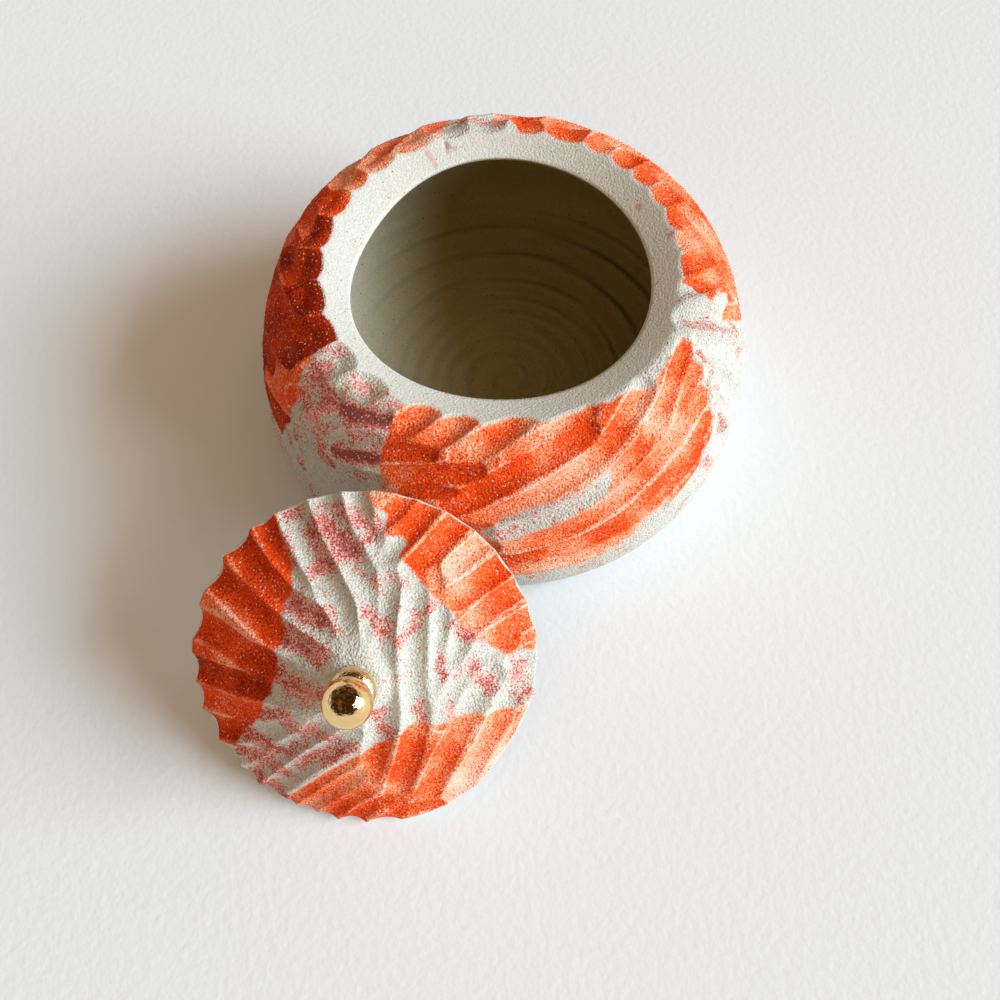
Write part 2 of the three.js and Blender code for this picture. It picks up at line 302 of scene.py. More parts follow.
# Cuts on the front as the photograph shows them: reach, depth, how thin the stain lies in them,
# then points as azimuth and length down
FRONT_CUTS = (
    (2.8, 1.6, 0.2, (-111.5, -1.8), (-116, 3), (-121, 7)),
    (2.8, 1.6, 0.3, (-100.5, -1.8), (-105, 2), (-111, 5.5)),
    (2.1, 1.3, -0.4, (-108.5, 6.6), (-115, 8), (-122, 10.5)),
    (3, 1.6, 0.7, (-84, -1.8), (-91, 1.6), (-100, 5.8)),
    (2.3, 1.5, -0.1, (-96.5, 8.7), (-104, 9.8), (-112, 11.7), (-120, 14.5)),
    (1.8, 1.2, -0.4, (-101.5, 13.7), (-107, 13.8), (-112, 15.5)),
    (1.9, 1.1, 0.5, (-65, 0.8), (-72, 1.3), (-80, 3.2), (-88, 5)),
    (3, 1.7, -0.1, (-68, 4), (-76, 5.6), (-85, 8), (-93, 11.5), (-101, 16)),
    (2.6, 1.6, 0.6, (-48, 2.6), (-55, 4.4), (-62, 7), (-70, 9.8), (-79, 12.5), (-90, 16.5), (-98, 19.5)),
    (2.2, 1.5, 0.4, (-29, 3.3), (-38, 4.8), (-46, 7.2), (-53, 9)),
    (2.6, 1.6, 0.6, (-49, 9.6), (-56, 11.2), (-64, 14), (-74, 17.4), (-84, 20), (-92, 21.8)),
    (1.9, 1.2, 0.7, (-32.5, 7), (-38, 8.6), (-44, 11.5)),
    (2.8, 1.5, 0.6, (-34.5, 12.2), (-42, 12.8), (-50, 14.8), (-58, 17.2), (-67, 20.5),
     (-78, 23.7), (-88, 25.3)),
    (2.7, 1.5, 0.4, (-37, 17.5), (-45, 19.8), (-54, 22.5), (-63, 25.3), (-73, 28), (-84, 29.8)),
    (2.3, 1.4, 0.2, (-41, 22.5), (-48, 24), (-56, 27), (-65, 29.5), (-76, 31.5)),
    (2.3, 1.4, 0.4, (-79, 28.6), (-88, 30.5), (-98, 31.5)),
    (1.8, 0.94, 0.6, (-53, 30), (-62, 32), (-74, 33.5), (-90, 34)),
    (3.7, 1.6, 0.5, (-144.5, -1.8), (-147.5, 5)),
    (3.5, 1.6, 0.5, (-130.5, -1.8), (-134.5, 3.5)),
    (2, 1.2, 0.5, (-122.5, 4), (-129, 5.8), (-135, 8.4), (-140, 12)),
    (1.8, 1.2, 0.5, (-122, 8.2), (-127, 10), (-132, 13), (-138, 16.5)),
    (1.8, 1.2, 0.5, (-121.5, 11.8), (-127, 13.8), (-132, 17)),
    (2.1, 1.4, 0.5, (-119, 15.8), (-126, 18.3), (-134, 20.5)),
    (2.3, 1.4, 0.5, (-137, 6.5), (-143.5, 9.5), (-149, 14)),
    (2.3, 1.4, 0.5, (-138, 17.5), (-148, 21.5)),
    (2.6, 1.5, 0.5, (-10.5, -0.8), (-3, 6), (3, 10.5)),
    (2.9, 1.4, 0.7, (-20, 0.5), (-16, 6), (-11, 12), (-5, 18)),
    (2.9, 1.4, 0.5, (-26, 6), (-21, 12), (-16, 20), (-10, 27)),
    (2.9, 1.4, 0.5, (-28, 14), (-24, 21), (-20, 29)),
    (2.7, 1.4, 0.5, (-33, 24), (-30, 32)))


def finer_line(line):
    """Each coordinate of a line's points, with two more points set into each stretch."""
    t = np.arange(len(line))
    fine = np.linspace(0, t[-1], 3 * t[-1] + 1)
    return [np.interp(fine, t, values) for values in np.array(line).T]


def bowl_cuts(profile):
    """The bowl's cuts: the listed ones on the front, short ones side by side on the shoulder from
    the right round the back to the left, and under these, rows that turn clockwise to the belly."""
    cuts = []
    for start, end in zip(SHOULDER_RIDGES[:-1], SHOULDER_RIDGES[1:]):
        middle = (start + end) / 2
        last = np.interp(middle, *SHOULDER_CUT_END) + rng.uniform(-0.5, 1)
        length = np.linspace(SHOULDER_CUT_START, last, CUT_STEPS)
        azimuth = middle + (np.interp(middle, *SHOULDER_CUT_LEAN) + rng.uniform(-0.2, 0.2)) * length
        reach = SHOULDER_CUT_REACH * np.radians(end - start) * RIM_RADIUS
        depth = SHOULDER_CUT_DEPTH * rng.uniform(0.9, 1.1)
        thin = np.interp(middle, *SHOULDER_THIN_AND_SHADE) + rng.uniform(0, 0.6)
        cuts.append((profile.surface(azimuth, length), reach, depth, RIM_BITE, thin))
    for reach, depth, thin, *line in FRONT_CUTS:
        azimuth, length = finer_line(line)
        bite = RIM_BITE if length[0] < 0 else DEEP_BITE
        cuts.append((profile.surface(azimuth, length), reach, depth, bite, thin))
    outside = profile.points[:, 1] >= BELLY_HEIGHT
    dropped = (RIM_HEIGHT - profile.points[outside, 1]) / (RIM_HEIGHT - BELLY_HEIGHT)
    for k in range(LONG_CUTS):
        for part in range(LONG_CUT_PARTS):
            ends = np.array([part, part + 1 + LONG_CUT_OVERLAP]) + rng.uniform(-0.2, 0.2)
            ends = np.clip(ends / LONG_CUT_PARTS * LONG_CUT_LAST, LONG_CUT_FIRST, LONG_CUT_LAST)
            down = np.linspace(*ends, CUT_STEPS)
            start = LONG_CUT_START + 360 / LONG_CUTS * k + rng.uniform(-1.5, 1.5)
            azimuth = start - LONG_CUT_TURN * down
            length = np.interp(down, dropped, profile.length[outside])
            middle = (azimuth.mean() + 180) % 360 - 180
            low, high = LISTED_LOW if length.mean() > LISTED_LOW_FROM else LISTED_HIGH
            reach = LONG_CUT_REACH * rng.uniform(0.92, 1.08)
            depth = rng.uniform(1.25, 1.6)
            # Thicker, darker stain in the long cuts on the left is painted shade.
            thin = 0.2 + 0.6 * rng.uniform() - np.interp(middle % 360, *LONG_CUT_PAINTED_SHADE)
            if low < middle < high or length[0] < LONG_CUT_CLEAR:
                continue
            cuts.append((profile.surface(azimuth, length), reach, depth, DEEP_BITE, thin))
    return cuts


# The lid's cuts seen from above: reach, how thin the stain lies, then points across and up
LID_CUTS = (
    (3.2, -0.3, (-31.5, 8.3), (-25, 6), (-20, 3.5), (-13, 1.5), (-7, -0.5)),
    (3.3, 0.1, (-28.5, 18), (-22, 13.5), (-16, 9.5), (-10, 6), (-5.5, 4.3)),
    (3.2, -0.3, (-23.5, 24), (-17, 17), (-12, 13.2), (-6, 10), (-3, 8)),
    (2.4, 0.1, (-18, 28), (-14.5, 22), (-11, 17.5), (-7, 14.5)),
    (3.4, 0.5, (-13, 30.5), (-9.5, 24), (-6, 18.5), (-2.5, 13), (-0.5, 7.5)),
    (3.3, 0.5, (-7, 32), (-4.5, 26), (-0.5, 20), (2.5, 14.5), (3.5, 9), (3, 5.5)),
    (2.4, 0.5, (-1, 32), (1, 26), (3.5, 22.5), (5, 19)),
    (2.8, -0.5, (-33, -0.5), (-26, -1.5), (-20, -2), (-13, -2.5), (-8, -3)),
    (2.6, -0.2, (-33, -5.5), (-26, -6.5), (-20, -7.5), (-12, -6.5)),
    (2.9, -0.6, (-32, -11.5), (-25, -12), (-18, -11), (-11, -8.5)),
    (2.6, -0.4, (-29, -17.5), (-22, -17), (-16, -13.5)),
    (2.2, 0.2, (4, 25.5), (7, 28), (10.5, 32)),
    (2.7, 0.1, (5, 21), (9, 24.5), (14, 30)),
    (2.7, 0.1, (9.5, 17.5), (13, 21), (19, 27)),
    (2.2, 0.8, (16.5, 18), (20, 20.5), (25, 23.5)),
    (2.7, 0.2, (17, 13), (21, 15), (28.5, 19.5)),
    (2.4, 0.5, (16.2, 2.5), (18, 7), (23, 10.8), (30.5, 14.5)),
    (2.3, 0.6, (21.5, 4.5), (26, 6.5), (32, 9)),
    (2.0, 0.6, (26.5, 0.5), (33, 2.5)),
    (2.9, 0.4, (5.5, 16.5), (4.6, 10), (4.6, 2), (4.8, -5), (3.2, -12), (0.5, -19)),
    (2.8, 0.1, (10.5, 16.5), (9.7, 9), (9.8, 0), (10, -8), (8, -16), (4.5, -26)),
    (1.9, 0.4, (12.5, 19), (14.3, 12.5), (14, 4), (13.2, -3)),
    (2.5, 0.3, (26, 4.5), (21, 2.5), (17.5, -1), (15.2, -5), (14.2, -8)),
    (3.0, 0.5, (22.5, -1.5), (20, -4.5), (17.5, -10), (14.5, -16), (10.5, -25)),
    (3.0, 1.2, (30, -2.5), (26.5, -5), (24.5, -9), (21, -16), (16, -25)),
    (2.6, 1.4, (31, -9), (26, -16), (21.5, -23.5)),
    (2.3, 0.5, (-22.5, -22), (-12, -12.5), (-4.5, -6.5)),
    (2.2, 0.5, (-19.5, -25.5), (-9, -15.5), (-1, -9.5)),
    (1.6, 0.5, (-16, -28), (-6, -19), (1.5, -13)),
    (2.3, 0.7, (-13, -29.5), (-5, -22), (1.5, -17)),
    (2.0, 0.4, (-9, -30), (-3, -25), (1.5, -21.5)),
    (2.0, 0.2, (-4, -31), (0, -27), (5, -24.5), (8, -24)),
    (1.8, 0.1, (1, -31.5), (6, -28), (12, -27)),
    (2.0, 0.5, (-21.5, -27), (-15.5, -25.5)))
LID_CUT_DEPTH = 0.56  # of the reach


def lid_cuts():
    """The lid's cuts, laid on the dome: a fan from the edge to the knob on the left, short ones
    in from the upper right edge, arcs past the knob on the right, and slanted ones below."""
    cuts = []
    for reach, thin, *line in LID_CUTS:
        x, y = finer_line(line)
        height = dome_height(np.minimum(np.hypot(x, y), LID_RADIUS))
        depth = LID_CUT_DEPTH * reach * rng.uniform(0.88, 1.12)
        cuts.append((np.column_stack([x, y, height]), reach, depth, DEEP_BITE, thin))
    return cuts


# Where the stain lies: on the bowl as azimuth and length down the outside, on the lid as x and y

BOWL_MM_PER_DEGREE = 0.75
FRONT_STAIN = (
    (-121, -4), (-66, -4), (-60, 0.8), (-50, 1.2), (-45, 3), (-36, 1.8), (-27, 2), (-26, 4.5),
    (-31, 5.5), (-30, 8), (-33, 10), (-32, 13), (-34.5, 15), (-34, 18.5), (-37, 22), (-43, 26.5),
    (-51, 29.5), (-58, 32), (-63, 34), (-72, 36), (-88, 37), (-105, 37.5), (-119, 36),
    (-118.5, 17), (-120, 11))
FRONT_GAP = (
    (-95, 22.8), (-91, 18.6), (-85, 16.6), (-77, 14.6), (-68, 13.2), (-64.5, 13), (-64, 14.8),
    (-67, 17.4), (-74, 19.6), (-82, 21.8), (-90, 24))
RIGHT_STAIN = (
    (93, 4), (86, 2.5), (81, -4), (-6, -4), (-8.5, 1.7), (-12.4, 5), (-7.5, 6.5), (-6, 9),
    (-12.5, 10.5), (-6, 18.5), (2, 26), (12, 33), (30, 35), (55, 33), (75, 35), (90, 32),
    (96, 22), (90, 12))
LEFT_STAIN = (
    (112, -4), (108, 4), (104, 10), (107, 20), (104, 29), (120, 34), (140, 35), (160, 33.5),
    (180, 35), (200, 34), (207.5, 29), (210.5, 23), (211, 19), (213, 15), (211, 9), (208.5, 4.8),
    (209, -4))
# Dabs of pink: from, to, half width and strength
BOWL_DABS = (
    (-134, 7.2, -121, 4.2, 1.9, 2.0), (-131, 15.5, -121, 11.5, 1.5, 2.0),
    (-137, 2, -125, 0.5, 2.0, 0.7), (-146, 5, -139, 9, 2.6, 1.2), (-147, 7, -137, 7.5, 2.2, 1.1),
    (-128, 2, -122, 1, 1.5, 0.8), (-146, 12, -137, 13, 2.0, 1), (-138, 16, -133, 19, 1.8, 1.1),
    (-149, 3, -141, 12, 5.0, 0.6), (-136, 5, -126, 9, 4.5, 0.6), (-146, 20, -128, 17, 4.0, 0.35),
    (-149, 16, -145, 23, 1.5, 0.8), (-150, 25, -143, 31, 1.5, 0.7), (-124, 18, -119, 16, 1.2, 0.5),
    (-22, 2.5, -17, 7, 1.6, 0.6), (-17, 7, -14, 14, 1.2, 0.7), (-10, 13, -13, 23, 1.3, 0.8),
    (-27, 6, -28, 10, 1.2, 0.6), (-30, 11, -28, 19, 1.4, 0.5), (-32, 20, -30, 27, 1.4, 0.6),
    (-40, 26, -36, 32, 1.3, 0.7), (-88, 21.5, -93, 23, 1.2, 0.8), (-88, 19, -72, 16.5, 2.2, 0.45),
    (-70, 13.6, -80, 16, 0.9, 0.7), (90, 1.5, 104, 5, 1.7, 0.9), (97, 9, 101, 20, 1.8, 0.8),
    (98, 24, 96, 33, 1.5, 0.7))
DAB_FADE = 1.4
FOOT_DABS = 45
FOOT_DAB_TOP = 35.5  # mm down
FOOT_DAB_END = 40.0

LID_LEFT_STAIN = (
    (-17, 34), (-14.3, 26.6), (-12.5, 21), (-11, 15.5), (-13.3, 12.7), (-13, 9), (-14, 5),
    (-14.7, 1), (-15.5, -2.5), (-17, -5), (-19.7, -10), (-22.5, -12.5), (-24, -15.7), (-28, -16.5),
    (-40, -17), (-40, 34))
LID_RIGHT_STAIN = (
    (1, 34), (1, 30.4), (2.6, 28), (5, 27.2), (5.5, 25), (4.4, 23.8), (7.5, 23.7), (8.7, 22.9),
    (7.3, 20), (9.7, 18.3), (11, 16.7), (12.5, 14.6), (14.8, 12.3), (15.7, 11.3), (17.5, 8.8),
    (20.8, 6.2), (23, 3.8), (26, 1.5), (27.2, 2.3), (34, 1.3), (34, 34))
LID_LOW_STAIN = (
    (-18, -30), (-12.8, -23.4), (-5.6, -17.5), (0.7, -13.7), (3.8, -12.2), (6.1, -10.8),
    (8.7, -9.1), (11.1, -8.7), (15.5, -9), (20.5, -8.1), (22.9, -9), (34, -8.3), (34, -36),
    (-18, -36))
LID_DABS = (
    (-13, 27, -11, 28, 1.6, 0.8), (-12.5, 24, -11, 20, 1.2, 0.7), (-8.5, 24.5, -5.5, 20, 1.8, 1),
    (-7.5, 18.5, -4.5, 19, 1.5, 1.1), (-6, 26, -1, 21.5, 2.2, 1.3), (-7, 28.5, -3, 28, 1.4, 0.8),
    (-1.5, 27.5, 5, 25, 1.6, 0.9), (0.5, 23, 3.5, 24.5, 1.3, 0.9), (-3, 21, 3, 16.5, 1.3, 0.6),
    (2.5, 12, 5.5, 9, 1.9, 1), (7.5, 7, 14, 13, 1.2, 0.9), (-12.5, 13.5, -6, 11, 2.1, 1.3),
    (-4.5, 12.5, -3.5, 9.5, 1.3, 0.8), (-10.5, 8, -5, 5.5, 1.7, 1), (-13, 7, -6, 4, 1.6, 1.2),
    (-14, 0.5, -7, -2, 2.2, 1.1), (-9, -4, -6, -2, 1.2, 0.6), (-18, -8, -13, -6.5, 1.9, 1.1),
    (-14, -9, -9.5, -9.5, 1.6, 0.9), (-21.5, -13, -16, -15, 2.0, 1.2), (-24.5, -16, -20, -18.5, 1.7, 1.2),
    (-19, -17, -15, -20, 1.8, 1.1), (-13.5, -15, -10, -12, 1.6, 0.8), (-9, -9, -4, -11, 1.7, 0.9),
    (-21, -22, -16, -26, 2.2, 1.2), (-12, -17.5, -5, -13, 1.6, 1), (-7, -16, -1, -12, 1.2, 1.1),
    (4, -6, 5, -10.5, 1.7, 1), (10.5, -5, 11, -8, 1.2, 0.9), (15.5, -6, 16, -8, 1.2, 0.8),
    (17, 8, 21, 5.5, 1.5, 0.9), (14.5, 3, 15, 0, 1.1, 0.9), (19.5, 1, 23, -4, 1.7, 0.8),
    (27.5, 1, 28, -6, 2.0, 0.8), (17, -1, 20, 3, 1.0, 0.5), (5.5, 17.5, 9, 15.5, 1.0, 0.8))
STAIN_LIMIT = 3.0


def round_bowl(azimuth, outline):
    """Azimuths moved by whole turns to lie within half a turn of the outline's middle."""
    middle = (outline[:, 0].min() + outline[:, 0].max()) / 2
    return middle + (azimuth - middle + 180) % 360 - 180


def bowl_stain(azimuth, length):
    """Distance inside the orange stain and cover of the pink, by azimuth and length down the bowl.
    Small runs of pink go down towards the foot all round, besides the listed dabs."""
    scale = np.array([BOWL_MM_PER_DEGREE, 1])
    reached = []
    for outline in map(np.array, (FRONT_STAIN, RIGHT_STAIN, LEFT_STAIN)):
        x = round_bowl(azimuth, outline) * BOWL_MM_PER_DEGREE
        reached.append(outline_distance(x, length, outline * scale))
    gap = np.array(FRONT_GAP)
    x = round_bowl(azimuth, gap) * BOWL_MM_PER_DEGREE
    stain = np.minimum(np.maximum.reduce(reached), -outline_distance(x, length, gap * scale))
    dabs = list(BOWL_DABS)
    starts = np.arange(-180, 180, 360 / FOOT_DABS) + rng.uniform(-3, 3, FOOT_DABS)
    for start in starts:
        end = start + rng.uniform(-2, 2), FOOT_DAB_END + rng.uniform(-2, 3)
        dabs.append((start, FOOT_DAB_TOP, *end, rng.uniform(1.2, 2.2), rng.uniform(0.2, 0.5)))
    pink = np.zeros(azimuth.shape)
    for dab in dabs:
        ends = np.array([[dab[0], dab[1]], [dab[2], dab[3]]])
        x = round_bowl(azimuth, ends) * BOWL_MM_PER_DEGREE
        moved = (*(ends[0] * scale), *(ends[1] * scale), *dab[4:])
        pink = np.maximum(pink, dab_cover(x, length, [moved]))
    return np.clip(stain, -STAIN_LIMIT, STAIN_LIMIT), pink


# Pieces

OUTSIDE, RIM, INSIDE = range(3)


def seat_height(radius):
    """Height of the sloping seat, which is a cone."""
    return MOUTH_HEIGHT + (radius - MOUTH_RADIUS) * SEAT_SLOPE


def mouth_radius(azimuth):
    """The mouth is a little out of round, drawn in at the back left and full at the front left:
    its radius is waved by sines of one to four turns."""
    turn = np.radians(azimuth)
    return (MOUTH_RADIUS - 0.7 * np.sin(3 * turn) - 0.25 * np.sin(turn) + 0.25 * np.sin(2 * turn)
            + 0.25 * np.sin(4 * turn - 0.6))


# The spiral ledge that throwing leaves in the hollow, how strong it is, and how dark the painted
# shade at its step is, by length down the hollow
THROWING_PITCH = 4.6
THROWING_START = 0.41  # of a turn
THROWING_DEPTH = 0.8
THROWING_SWAY = 0.35  # of a turn
THROWING_SWAY_LENGTH = 5.0
LEDGE_RISE = 0.25  # of a turn
LEDGE_STRENGTH = ((0, 30, 38, 50, 64), (0, 0.15, 1, 1, 0.5))
GROOVE_SHADE_STRENGTH = ((34, 39, 50, 64), (0, 1, 1, 0.35))
GROOVE_SHADE_SPREAD = 0.008  # square of its width in turns
GROOVE_SHADE_AZIMUTH = 25.0  # where it is darkest
GROOVE_SHADE_LEAST = 0.15

# A short crease across the rim at the back, and smears of pink on the rim by azimuth and length
CREASE_AZIMUTH = 109.0
CREASE_HALF_WIDTH = 0.8  # degrees
CREASE_LEAN = 0.4  # degrees for each mm
CREASE_LENGTH = 5.0
CREASE_DEPTH = 0.35
RIM_MM_PER_DEGREE = 0.55
RIM_DABS = (
    (107, -2.4, 108.5, -1.8, 0.6, 0.9), (117, -1.2, 116, -5, 0.6, 0.7),
    (28, -3.3, 29, -3.1, 0.6, 1.3), (12, -1.4, 12.5, -0.9, 0.5, 1.2))

# Rows of points: close together where the bowl is carved, and wide below and at the mouth
CURVE_POINTS = 400
HOLLOW_POINTS = 200
CARVED_SHARE = 0.68  # of the length from the rim to the foot's middle
CARVED_ROWS = 80
PLAIN_ROWS = 13
SEAT_ROWS = 10
EDGE_STEPS = 40
MOUTH_FADE = 14.0  # mm down the hollow over which the mouth's unevenness fades
MOUTH_ROWS = 10
HOLLOW_ROWS = 72
POLE_GAP = 0.8  # mm from the last ring of the hollow to its middle
LIP_START = 0.5  # mm below the mouth
RIM_MARGIN = 0.25  # mm that the stain keeps from the rim's edge


def bowl_outside():
    """The outside's profile: a shelf inside the rim for the deepest cuts, then two rounded curves
    that meet at the belly."""
    belly = (BELLY_RADIUS, BELLY_HEIGHT)
    shelf = np.array([[RIM_RADIUS - SHELF, RIM_HEIGHT]])
    upper = rounded_curve((RIM_RADIUS, RIM_HEIGHT), belly, 2, CURVE_POINTS)
    lower = rounded_curve((FOOT_RADIUS, 0), belly, FOOT_ROUNDNESS, CURVE_POINTS)
    return Profile(np.concatenate([shelf, upper, lower[::-1]]), zero=SHELF)


def rim_edge(outside, cuts, azimuth):
    """Length down the outside at which each column's sunk shoulder comes out of the seat's cone:
    where its height above the cone changes sign between two steps, shared out in a straight line."""
    steps = np.linspace(-SHELF, SHELF, EDGE_STEPS)
    grid_azimuth, grid_length = np.meshgrid(azimuth, steps)
    flat = outside.surface(grid_azimuth, grid_length).reshape(-1, 3)
    sunk = carve(flat, cuts)[0].reshape(grid_length.shape)
    spots = outside.surface(grid_azimuth, grid_length, sunk)
    above = spots[..., 2] - seat_height(np.hypot(spots[..., 0], spots[..., 1]))
    first = np.argmax(above < 0, axis=0)
    column = np.arange(azimuth.size)
    high, low = above[first - 1, column], above[first, column]
    return steps[first - 1] + (steps[first] - steps[first - 1]) * high / (high - low)


def seat_rings(azimuth, mouth, edge_radius):
    """Rings of the seat from the rim's edge in to the mouth, how deep in the crease each point
    lies, which also sets the painted shade in the crease, and its cover of pink. The crease is a
    bell curve across that fades down the seat."""
    share = np.linspace(1, 0, SEAT_ROWS)[1:-1, None]
    radius = mouth + share * (edge_radius - mouth)
    grid_azimuth, grid_length = np.meshgrid(azimuth, (share - 1) * (RIM_RADIUS - MOUTH_RADIUS))
    away = grid_azimuth - CREASE_AZIMUTH + CREASE_LEAN * grid_length
    crease = np.exp(-(away / CREASE_HALF_WIDTH) ** 2)
    crease *= np.interp(grid_length, (-CREASE_LENGTH, 0), (0, 1))
    height = seat_height(radius) - CREASE_DEPTH * crease
    rings = [np.column_stack([on_circle(azimuth, r), z]) for r, z in zip(radius, height)]
    scale = RIM_MM_PER_DEGREE
    smears = [(a * scale, s, b * scale, t, *rest) for a, s, b, t, *rest in RIM_DABS]
    return rings, crease, dab_cover(grid_azimuth * scale, grid_length, smears)


def hollow_rings(azimuth):
    """Rings of the hollow and the painted shade at each turn of the ledge. The profile is an
    upright lip and two quarter ellipses, waved by a spiral ledge that rises by a sine over the
    first part of each turn and falls in a straight line over the rest. The painted shade is a
    bell curve at the step of each turn, strongest on the right, away from the window."""
    widest = (BELLY_RADIUS - WALL, HOLLOW_HEIGHT)
    lip = np.array([[MOUTH_RADIUS, MOUTH_HEIGHT - LIP_START]])
    upper = rounded_curve((MOUTH_RADIUS, MOUTH_HEIGHT - LIP_HEIGHT), widest, 2, HOLLOW_POINTS)
    lower = rounded_curve((FLOOR_RADIUS, FLOOR_THICKNESS), widest, 2, HOLLOW_POINTS)
    centre = np.array([[0, FLOOR_THICKNESS]])
    hollow = Profile(np.concatenate([lip, upper, lower[::-1], centre]))
    near_mouth = np.linspace(0, MOUTH_FADE, MOUTH_ROWS)[:-1]
    below = np.linspace(MOUTH_FADE, hollow.length[-1] - POLE_GAP, HOLLOW_ROWS)
    length = np.concatenate([near_mouth, below])[:, None]

    sway = THROWING_SWAY * np.sin(length / THROWING_SWAY_LENGTH)
    phase = (length / THROWING_PITCH + sway + azimuth / 360 - THROWING_START) % 1
    rise = np.sin(np.pi / 2 * phase / LEDGE_RISE)
    fall = 1 - (phase - LEDGE_RISE) / (1 - LEDGE_RISE) * 2
    ledge = np.where(phase < LEDGE_RISE, rise, fall) / 2 + 0.25
    depth = THROWING_DEPTH * np.interp(length, *LEDGE_STRENGTH)
    grid_azimuth, grid_length = (np.broadcast_to(side, ledge.shape) for side in (azimuth, length))
    rings = hollow.surface(grid_azimuth, grid_length, -depth * ledge)
    drawn = np.interp(length, (0, MOUTH_FADE), (1, 0)) * (mouth_radius(azimuth) - MOUTH_RADIUS)
    rings[..., :2] += on_circle(azimuth, 1.0) * drawn[..., None]
    rings[..., 2] += drawn * SEAT_SLOPE

    # Painted shade at the ledge's step, strongest on the right, where the hollow is away from the window.
    groove = np.exp(-((phase + 0.5) % 1 - 0.5) ** 2 / GROOVE_SHADE_SPREAD)
    groove *= np.interp(length, *GROOVE_SHADE_STRENGTH)
    towards = 0.5 + 0.5 * np.cos(np.radians(azimuth - GROOVE_SHADE_AZIMUTH))
    return rings, groove * (GROOVE_SHADE_LEAST + (1 - GROOVE_SHADE_LEAST) * towards ** 2)


def make_bowl():
    """One skin of rings: up the outside, sunk by the cuts, from the foot to where each column
    comes out of the seat's cone, then in over the seat, round the mouth and down the hollow."""
    azimuth = np.arange(BOWL_COLUMNS) * 360 / BOWL_COLUMNS
    outside = bowl_outside()
    cuts = bowl_cuts(outside)
    edge = rim_edge(outside, cuts, azimuth)
    carved_rows = np.linspace(0, CARVED_SHARE, CARVED_ROWS)[:-1]
    rows = np.concatenate([carved_rows, np.linspace(CARVED_SHARE, 1, PLAIN_ROWS)])
    length = edge + rows[:, None] * (outside.length[-1] - edge)
    grid_azimuth = np.broadcast_to(azimuth, length.shape)
    flat = outside.surface(grid_azimuth, length).reshape(-1, 3)
    depth, ridge, thin = (part.reshape(length.shape) for part in carve(flat, cuts))
    outer = outside.surface(grid_azimuth, length, depth)
    stain, pink = bowl_stain(grid_azimuth, length)
    stain = np.minimum(stain, length - edge - RIM_MARGIN)

    mouth = mouth_radius(azimuth)
    seat, crease, rim_pink = seat_rings(azimuth, mouth, np.hypot(outer[0, :, 0], outer[0, :, 1]))
    mouth_ring = np.column_stack([on_circle(azimuth, mouth), seat_height(mouth)])
    inner, groove = hollow_rings(azimuth[::2])
    rings = [*outer[::-1], *seat, mouth_ring, *inner]
    poles = [0, 0, 0], [0, 0, FLOOR_THICKNESS]
    past_outside = sum(len(ring) for ring in rings[len(outer):]) + 1

    def outside_only(values, filler):
        return np.concatenate([[filler], values[::-1].ravel(), np.full(past_outside, filler)])

    on_mouth = np.zeros(azimuth.size)
    below = np.zeros(groove.size + 1)
    before_seat = np.zeros(stain.size + 1)
    values = {
        "stain": outside_only(stain, -STAIN_LIMIT),
        "ridge": outside_only(ridge, 1),
        "thin": outside_only(thin, UNCUT_THIN),
        "pink": np.concatenate([[0], pink[::-1].ravel(), rim_pink.ravel(), on_mouth, below]),
        "groove": np.concatenate([before_seat, crease.ravel(), on_mouth, groove.ravel(), [0]])}
    zones = [OUTSIDE] * len(outer) + [RIM] * (len(seat) + 1) + [INSIDE] * (len(inner) + 1)
    bowl = skin("carved_bowl", rings, *poles, values, zones)
    for material in (stained_stoneware, bare_stoneware, inside_painted_shade_stoneware):
        bowl.data.materials.append(material)
    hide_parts("salt_bowl")
    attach(bowl, "bowl")
    return bowl


def lid_frame():
    """The turn and place of the lid's own frame, with the dome up and the edge's top at height 0,
    found from the ball's place on the lid's axis."""
    facing = np.radians(LEAN_FACING)
    hinge = (-np.sin(facing), np.cos(facing), 0)
    turn = np.array(Matrix.Rotation(np.radians(LEAN_TILT), 3, hinge))
    return turn, (ball_low + ball_high) / 2 - turn[:, 2] * ball_height


ball_height = LID_RISE + NECK_HEIGHT + 2 * JOINT_GAP + np.sqrt(BALL_RADIUS ** 2 - BALL_FLAT ** 2)
lid_turn, lid_centre = lid_frame()


def leaned(points):
    """Points of the lid's own frame moved to where the lid leans."""
    return points @ lid_turn.T + lid_centre


def dome_height(radius):
    """Height of the dome above its edge: it falls from the pad by the share outwards to a power."""
    out = np.clip((radius - KNOB_PAD) / (LID_RADIUS - KNOB_PAD), 0, None)
    return LID_RISE * (1 - out ** DOME_ROUNDNESS)


# Rows of the lid, how its cuts fade at the knob's pad, and how they notch its edge
PAD_ROWS = 8
DOME_ROWS = 66
FIRST_RADIUS = 0.5
PAD_CLEAR = 0.95  # of the pad's radius
PAD_FADE = 2.5
EDGE_SHARES = (0.12, 0.5, 0.88, 1.0)
NOTCH_INWARDS = 0.4  # of the depth, at the top of the edge
NOTCH_EASED = 0.28  # less of it at the foot
NOTCH_DOWN = 0.85
EDGE_BULGE = 0.12
SMALL_BEVEL = 0.25
LID_HOLLOW_ROWS = 30


